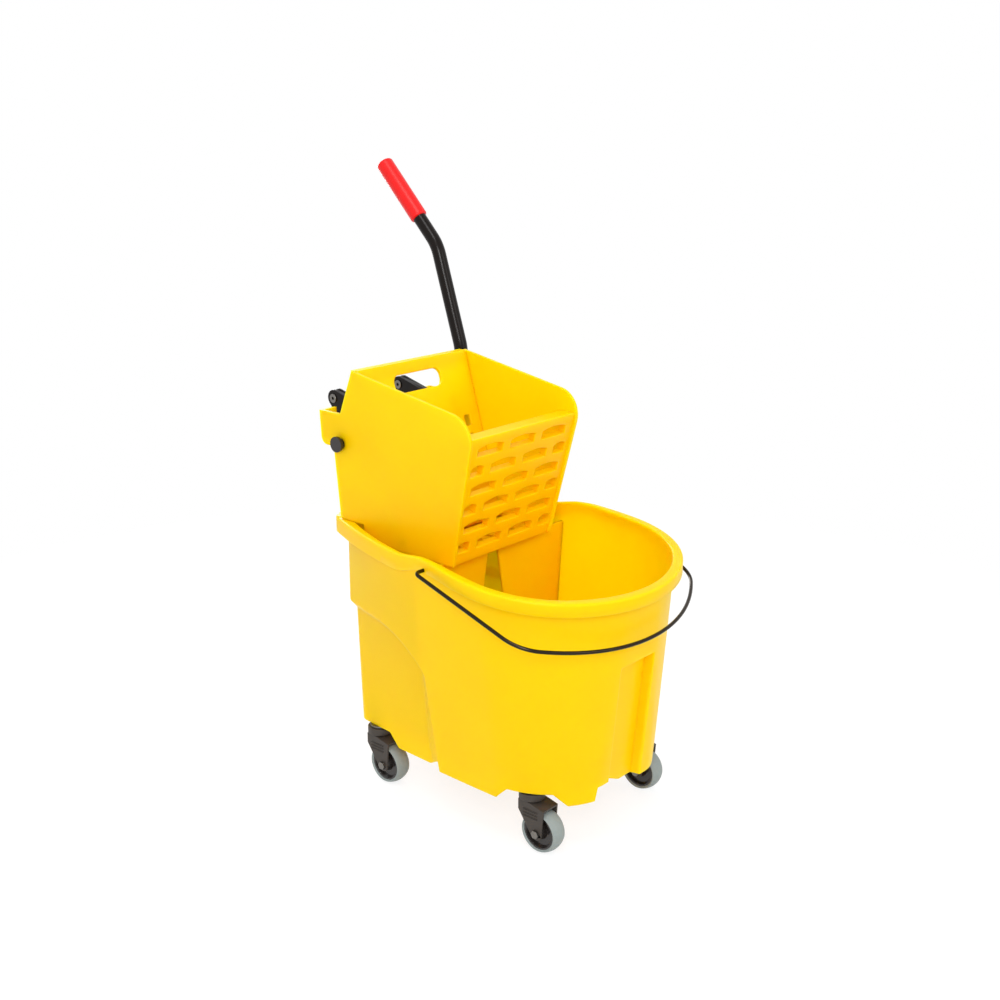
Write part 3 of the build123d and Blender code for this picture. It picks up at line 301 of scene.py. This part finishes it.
# The fins and sockets end just inside the wall's inner face, so that no edge shows through it.
join = wall - 0.3
sunk = 2
fin_x, fin_half, fin_top_z = -61, 3, 379.7
fin_foot, fin_crest = 62, 10
fin_edge = ((-fin_half, 2.5), (-2.2, 0.7), (0, 0), (2.2, 0.7), (fin_half, 2.5))
for sign in (-1, 1):
    fin = []
    for z in steps(floor_top - sunk, fin_top_z, 40) + [fin_top_z]:
        inner = between(fin_foot, fin_crest, share_of(z, floor_under, fin_top_z))
        outer = wall_half(fin_x, z, join)
        section = [(-fin_half, outer)]
        section += [(x, inner + back) for x, back in fin_edge]
        section.append((fin_half, outer))
        fin.append([(fin_x + x, sign * y, z) for x, y in section])
    band_of(shell, fin)

socket_radius, socket_top = 15, 127
socket_profile = ((socket_radius, floor_top - sunk), (socket_radius, socket_top - 2),
                  (socket_radius - 0.6, socket_top - 0.6), (socket_radius - 2, socket_top))
for place in swivel_x:
    for sign in (-1, 1):
        socket = []
        for radius, z in socket_profile:
            section = []
            for angle in steps(0, math.tau, 40):
                x = place + radius * math.cos(angle)
                y = swivel_y + radius * math.sin(angle)
                if place < 0:
                    y = min(y, wall_half(x, z, join))
                section.append((x, sign * y, z))
            socket.append(section)
        band_of(shell, socket)
bmesh.ops.recalc_face_normals(shell, faces=shell.faces)

bucket_mesh = bpy.data.meshes.new("bucket_shell")
shell.to_mesh(bucket_mesh)
shell.free()
bucket_mesh.shade_smooth()
bucket_mesh.set_sharp_from_angle(angle=math.radians(50))
bucket = bpy.data.objects.new("bucket_shell", bucket_mesh)
bpy.context.scene.collection.objects.link(bucket)
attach(bucket, "tub")
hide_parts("bucket")


def linear(code):
    """Linear colour of an sRGB hex value."""
    parts = [int(code[i:i + 2], 16) / 255 for i in (1, 3, 5)]
    return [p / 12.92 if p <= 0.04045 else ((p + 0.055) / 1.055) ** 2.4 for p in parts] + [1]


def add_node(tree, kind, settings, inputs):
    """Adds a shader node, with its settings and with values or links for its inputs."""
    node = tree.nodes.new(kind)
    for name, value in settings.items():
        setattr(node, name, value)
    for key, value in inputs.items():
        if isinstance(value, bpy.types.NodeSocket):
            tree.links.new(value, node.inputs[key])
        else:
            node.inputs[key].default_value = value
    return node


def new_material(name):
    """A new material, its node tree and its shader."""
    material = bpy.data.materials.new(name)
    material.use_nodes = True
    return material, material.node_tree, material.node_tree.nodes["Principled BSDF"]


# Moulded yellow polyethylene: an even, saturated yellow with a half-gloss skin, faintly cloudy over
# hand-sized patches. Light sinks in and comes out again, so thin walls glow. Edges look rounded. The
# orange-peel grain of a moulded face is drawn coarser than the real one, so that it shows.
cloud_mm, peel_mm, moulded_edge_mm = 90, 2.2, 1.6
yellow, tree, shader = new_material("moulded_yellow_polyethylene")
place = add_node(tree, "ShaderNodeTexCoord", {}, {}).outputs["Object"]
cloud = add_node(tree, "ShaderNodeTexNoise", {},
                 {"Vector": place, "Scale": 1000 / cloud_mm, "Detail": 3})
tint = add_node(tree, "ShaderNodeMix", {"data_type": "RGBA"},
                {"Factor": cloud.outputs["Fac"], 6: linear("#FFBF00"), 7: linear("#FFC700")})
tree.links.new(tint.outputs[2], shader.inputs["Base Color"])
peel = add_node(tree, "ShaderNodeTexNoise", {},
                {"Vector": place, "Scale": 1000 / peel_mm, "Detail": 2})
gloss = add_node(tree, "ShaderNodeMapRange", {},
                 {"Value": peel.outputs["Fac"], "To Min": 0.30, "To Max": 0.42})
tree.links.new(gloss.outputs[0], shader.inputs["Roughness"])
rounded = add_node(tree, "ShaderNodeBevel", {"samples": 8}, {"Radius": moulded_edge_mm / 1000})
grain = add_node(tree, "ShaderNodeBump", {},
                 {"Height": peel.outputs["Fac"], "Strength": 0.06, "Distance": 0.0004,
                  "Normal": rounded.outputs["Normal"]})
tree.links.new(grain.outputs["Normal"], shader.inputs["Normal"])
shader.inputs["Specular IOR Level"].default_value = 0.1
shader.inputs["Subsurface Weight"].default_value = 0.8
shader.inputs["Subsurface Radius"].default_value = (0.75, 1, 0.2)
shader.inputs["Subsurface Scale"].default_value = 0.02
bucket.data.materials.append(yellow)


# Casters: a plated steel stem with a collar in each socket, a dark moulded fork that swivels on it,
# and a wheel of a dished black hub with a grey tread moulded round it. The wheel turns on an axle
# bolt whose nut faces the near side.
corners = ("front_near", "front_far", "rear_near", "rear_far")


def dress(node_name, material, edge=0):
    """Gives a solid of the frame its material, and rounds its edges by a width in millimetres."""
    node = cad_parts[node_name]
    node.material_slots[0].material = material
    if edge:
        weld = node.modifiers.new("weld", "WELD")
        weld.merge_threshold = 0.00001
        faces = node.modifiers.new("faces", "DECIMATE")
        faces.decimate_type = "DISSOLVE"
        faces.angle_limit = math.radians(0.5)
        soft = node.modifiers.new("edges", "BEVEL")
        soft.width = edge / 1000
        soft.segments = 3
        soft.limit_method = "ANGLE"
        soft.angle_limit = math.radians(35)
        soft.use_clamp_overlap = False
        soft.harden_normals = True


# Zinc-plated steel: a cool grey metal with a soft shine that varies a little over small patches.
spangle_mm = 3
zinc, tree, shader = new_material("zinc_plated_steel")
place = add_node(tree, "ShaderNodeTexCoord", {}, {}).outputs["Object"]
spangle = add_node(tree, "ShaderNodeTexNoise", {},
                   {"Vector": place, "Scale": 1000 / spangle_mm, "Detail": 2})
tint = add_node(tree, "ShaderNodeMix", {"data_type": "RGBA"},
                {"Factor": spangle.outputs["Fac"], 6: linear("#6C6965"), 7: linear("#86837E")})
tree.links.new(tint.outputs[2], shader.inputs["Base Color"])
gloss = add_node(tree, "ShaderNodeMapRange", {},
                 {"Value": spangle.outputs["Fac"], "To Min": 0.28, "To Max": 0.45})
tree.links.new(gloss.outputs[0], shader.inputs["Roughness"])
shader.inputs["Metallic"].default_value = 1

# Moulded grey nylon: very dark warm grey, half matt, with a fine spark-eroded texture, which is
# drawn about four times as coarse as the real one, so that it shows.
texture_mm = 1.2
nylon, tree, shader = new_material("moulded_grey_nylon")
place = add_node(tree, "ShaderNodeTexCoord", {}, {}).outputs["Object"]
texture = add_node(tree, "ShaderNodeTexNoise", {},
                   {"Vector": place, "Scale": 1000 / texture_mm, "Detail": 2})
tint = add_node(tree, "ShaderNodeMix", {"data_type": "RGBA"},
                {"Factor": texture.outputs["Fac"], 6: linear("#352F2A"), 7: linear("#403A35")})
tree.links.new(tint.outputs[2], shader.inputs["Base Color"])
gloss = add_node(tree, "ShaderNodeMapRange", {},
                 {"Value": texture.outputs["Fac"], "To Min": 0.42, "To Max": 0.58})
tree.links.new(gloss.outputs[0], shader.inputs["Roughness"])
grain = add_node(tree, "ShaderNodeBump", {},
                 {"Height": texture.outputs["Fac"], "Strength": 0.12, "Distance": 0.0003})
tree.links.new(grain.outputs["Normal"], shader.inputs["Normal"])
shader.inputs["Specular IOR Level"].default_value = 0.35

# Moulded black polypropylene: near-black with a waxy shine, smooth, with faint marks of its flow.
flow_mm = 6
black, tree, shader = new_material("moulded_black_polypropylene")
place = add_node(tree, "ShaderNodeTexCoord", {}, {}).outputs["Object"]
flow = add_node(tree, "ShaderNodeTexNoise", {},
                {"Vector": place, "Scale": 1000 / flow_mm, "Detail": 2})
tint = add_node(tree, "ShaderNodeMix", {"data_type": "RGBA"},
                {"Factor": flow.outputs["Fac"], 6: linear("#1B1715"), 7: linear("#2A2522")})
tree.links.new(tint.outputs[2], shader.inputs["Base Color"])
gloss = add_node(tree, "ShaderNodeMapRange", {},
                 {"Value": flow.outputs["Fac"], "To Min": 0.14, "To Max": 0.24})
tree.links.new(gloss.outputs[0], shader.inputs["Roughness"])

# Grey thermoplastic rubber: cool pale grey, matt, with dust in its skin, which is drawn in coarser
# patches than real dust, so that it shows.
dust_mm = 4
rubber, tree, shader = new_material("grey_thermoplastic_rubber")
place = add_node(tree, "ShaderNodeTexCoord", {}, {}).outputs["Object"]
dust = add_node(tree, "ShaderNodeTexNoise", {},
                {"Vector": place, "Scale": 1000 / dust_mm, "Detail": 4})
tint = add_node(tree, "ShaderNodeMix", {"data_type": "RGBA"},
                {"Factor": dust.outputs["Fac"], 6: linear("#7F8988"), 7: linear("#8E9795")})
tree.links.new(tint.outputs[2], shader.inputs["Base Color"])
gloss = add_node(tree, "ShaderNodeMapRange", {},
                 {"Value": dust.outputs["Fac"], "To Min": 0.5, "To Max": 0.68})
tree.links.new(gloss.outputs[0], shader.inputs["Roughness"])

for corner in corners:
    dress("caster_stem_" + corner, zinc, edge=0.5)
    dress("caster_fork_" + corner, nylon, edge=0.8)
    dress("caster_axle_" + corner, zinc, edge=0.5)
    dress("caster_hub_" + corner, black)
    dress("caster_tread_" + corner, rubber)


# Bail: one bent steel wire that lies round the front of the tub at rest. Each end is hooked through
# a hole in the tub's side, under the lip, and turns there.

# Drawn steel wire, blackened in oil: a dark brown metal with a soft shine along the wire and fine
# drawing marks, which are drawn coarser than the real ones, so that they show.
marks_mm = 1.5
wire, tree, shader = new_material("blackened_drawn_steel_wire")
place = add_node(tree, "ShaderNodeTexCoord", {}, {}).outputs["Object"]
marks = add_node(tree, "ShaderNodeTexNoise", {},
                 {"Vector": place, "Scale": 1000 / marks_mm, "Detail": 2})
tint = add_node(tree, "ShaderNodeMix", {"data_type": "RGBA"},
                {"Factor": marks.outputs["Fac"], 6: linear("#2B241C"), 7: linear("#3D352B")})
tree.links.new(tint.outputs[2], shader.inputs["Base Color"])
gloss = add_node(tree, "ShaderNodeMapRange", {},
                 {"Value": marks.outputs["Fac"], "To Min": 0.12, "To Max": 0.22})
tree.links.new(gloss.outputs[0], shader.inputs["Roughness"])
shader.inputs["Metallic"].default_value = 1
dress("bail", wire)


# Wringer: a lift-off moulding in the same yellow polyethylene, with two leaning side walls, a
# perforated front wall and a drained floor. It stands on the rear rim and on the fins. The plated
# hinge pins of its press plate sit in the walls.
dress("wringer_body", yellow)
for side in ("near", "far"):
    dress("hinge_pin_" + side, zinc, edge=0.5)


# Press plate: a second moulding in the same yellow polyethylene, with a hand-hold under its rail.
# It is hinged at its foot on the two pins and swings towards the perforated wall.
dress("press_plate", yellow)


# Links and cranks: stamped steel in black enamel, bolted to the plate and keyed on the cross shaft.
# A tubular rivet joins each pair of crank plates and runs in the link's slot. Black moulded caps
# close the ends of the shaft.

# Black stove enamel on steel: a thin hard coat, near-black, that gives long soft-edged reflections
# and is a little uneven where it ran before it set.
coat_mm = 8
enamel, tree, shader = new_material("black_stove_enamel")
place = add_node(tree, "ShaderNodeTexCoord", {}, {}).outputs["Object"]
coat = add_node(tree, "ShaderNodeTexNoise", {},
                {"Vector": place, "Scale": 1000 / coat_mm, "Detail": 2})
tint = add_node(tree, "ShaderNodeMix", {"data_type": "RGBA"},
                {"Factor": coat.outputs["Fac"], 6: linear("#0D0907"), 7: linear("#160F0B")})
tree.links.new(tint.outputs[2], shader.inputs["Base Color"])
gloss = add_node(tree, "ShaderNodeMapRange", {},
                 {"Value": coat.outputs["Fac"], "To Min": 0.18, "To Max": 0.28})
tree.links.new(gloss.outputs[0], shader.inputs["Roughness"])
shader.inputs["Specular IOR Level"].default_value = 0.16

for side in ("near", "far"):
    dress("link_" + side, enamel, edge=0.5)
    dress("link_bolts_" + side, zinc, edge=0.4)
    dress("drive_pin_" + side, zinc, edge=0.4)
    for plate in ("inner", "outer"):
        dress(f"crank_{side}_{plate}", enamel, edge=0.5)
    dress("shaft_cap_" + side, black)
dress("cross_shaft", enamel, edge=0.6)


# Handle: a collar on the end of the shaft, and a bent steel tube bolted in it, both enamelled black
# as the shaft is. A red vinyl grip is pushed over the tube's end.
dress("handle_collar", enamel, edge=0.8)
dress("handle_tube", enamel)
dress("handle_bolt", zinc, edge=0.5)

# Dipped red vinyl: a soft, even red skin with a satin shine and a faint ripple from dipping.
ripple_mm = 12
vinyl, tree, shader = new_material("dipped_red_vinyl")
place = add_node(tree, "ShaderNodeTexCoord", {}, {}).outputs["Object"]
ripple = add_node(tree, "ShaderNodeTexNoise", {},
                  {"Vector": place, "Scale": 1000 / ripple_mm, "Detail": 2})
tint = add_node(tree, "ShaderNodeMix", {"data_type": "RGBA"},
                {"Factor": ripple.outputs["Fac"], 6: linear("#DA0706"), 7: linear("#E60F0D")})
tree.links.new(tint.outputs[2], shader.inputs["Base Color"])
gloss = add_node(tree, "ShaderNodeMapRange", {},
                 {"Value": ripple.outputs["Fac"], "To Min": 0.32, "To Max": 0.45})
tree.links.new(gloss.outputs[0], shader.inputs["Roughness"])
shader.inputs["Specular IOR Level"].default_value = 0.35
dress("grip", vinyl)


# Studio: a white floor that fades into a white surround, soft light from all round, two lamps high
# on the camera's side, a weak one off the nose and one behind that shines through the yellow walls.
# Where it is seen, the floor is white but for the object's shadow. Sizes are in metres.
floor_radius, fade_start, fade_end = 3, 0.7, 1.5
floor_glow, surround_light, surround_seen = 0.82, 0.76, 1.0


def seen_ray(tree):
    """1 for a ray from the camera, a reflection or a clear body, and 0 for one that gives light."""
    path = add_node(tree, "ShaderNodeLightPath", {}, {})
    direct = add_node(tree, "ShaderNodeMath", {"operation": "MAXIMUM"},
                      {0: path.outputs["Is Camera Ray"], 1: path.outputs["Is Glossy Ray"]})
    seen = add_node(tree, "ShaderNodeMath", {"operation": "MAXIMUM"},
                    {0: direct.outputs[0], 1: path.outputs["Is Transmission Ray"]})
    return seen.outputs[0]


floor_shape = bmesh.new()
bmesh.ops.create_circle(floor_shape, cap_ends=True, segments=96, radius=floor_radius)
floor_mesh = bpy.data.meshes.new("floor")
floor_shape.to_mesh(floor_mesh)
floor_shape.free()
floor = bpy.data.objects.new("floor", floor_mesh)
bpy.context.scene.collection.objects.link(floor)
floor_paint, tree, shader = new_material("white_floor")
tree.nodes.remove(shader)
pale = add_node(tree, "ShaderNodeBsdfDiffuse", {}, {"Color": linear("#F2F2F2")})
half_pale = add_node(tree, "ShaderNodeBsdfDiffuse", {}, {"Color": linear("#808080")})
glow = add_node(tree, "ShaderNodeEmission", {},
                {"Color": linear("#FFFFFF"), "Strength": floor_glow})
lifted = add_node(tree, "ShaderNodeAddShader", {}, {0: half_pale.outputs[0], 1: glow.outputs[0]})
by_ray = add_node(tree, "ShaderNodeMixShader", {},
                  {0: seen_ray(tree), 1: pale.outputs[0], 2: lifted.outputs[0]})
place = add_node(tree, "ShaderNodeTexCoord", {}, {}).outputs["Object"]
away = add_node(tree, "ShaderNodeVectorMath", {"operation": "LENGTH"}, {0: place})
fade = add_node(tree, "ShaderNodeMapRange", {},
                {"Value": away.outputs["Value"], "From Min": fade_start, "From Max": fade_end})
clear = add_node(tree, "ShaderNodeBsdfTransparent", {}, {})
whole = add_node(tree, "ShaderNodeMixShader", {},
                 {0: fade.outputs[0], 1: by_ray.outputs[0], 2: clear.outputs[0]})
tree.links.new(whole.outputs[0], tree.nodes["Material Output"].inputs["Surface"])
floor_mesh.materials.append(floor_paint)

world = bpy.data.worlds.new("studio")
bpy.context.scene.world = world
world.use_nodes = True
tree = world.node_tree
around = add_node(tree, "ShaderNodeBackground", {},
                  {"Color": linear("#FFFFFF"), "Strength": surround_light})
backdrop = add_node(tree, "ShaderNodeBackground", {},
                    {"Color": linear("#FFFFFF"), "Strength": surround_seen})
both = add_node(tree, "ShaderNodeMixShader", {},
                {0: seen_ray(tree), 1: around.outputs[0], 2: backdrop.outputs[0]})
tree.links.new(both.outputs[0], tree.nodes["World Output"].inputs["Surface"])

lamps = (("key", (1.55, -1.7, 1.7), 0.8, 28), ("top", (0.6, -0.9, 2.7), 0.8, 16),
         ("end", (2.3, 0.6, 1.5), 1.2, 8), ("back", (-2.0, 0.8, 1.0), 1.0, 26))
lamp_target = Vector((0.05, 0, 0.4))
for name, at, size, watts in lamps:
    lamp = bpy.data.lights.new(name, "AREA")
    lamp.size = size
    lamp.energy = watts
    holder = bpy.data.objects.new(name, lamp)
    holder.location = at
    holder.rotation_euler = (lamp_target - Vector(at)).to_track_quat("-Z", "Y").to_euler()
    bpy.context.scene.collection.objects.link(holder)


# Camera: at the photograph's viewing angle, on the near side and round towards the pouring end, a
# little above the object and held level, with a normal lens.
azimuth, elevation, distance = math.radians(41.15), math.radians(16.68), 1.962
target = Vector((-0.0451 + shift / 1000, 0, 0.4551))
back = Vector((math.sin(azimuth) * math.cos(elevation), -math.cos(azimuth) * math.cos(elevation),
               math.sin(elevation)))
eye = bpy.data.cameras.new("camera")
eye.lens, eye.sensor_width = 47.7, 36
camera = bpy.data.objects.new("camera", eye)
camera.location = target + back * distance
camera.rotation_euler = back.to_track_quat("Z", "Y").to_euler()
bpy.context.scene.collection.objects.link(camera)
bpy.context.scene.camera = camera
bpy.context.scene.view_settings.view_transform = "Standard"
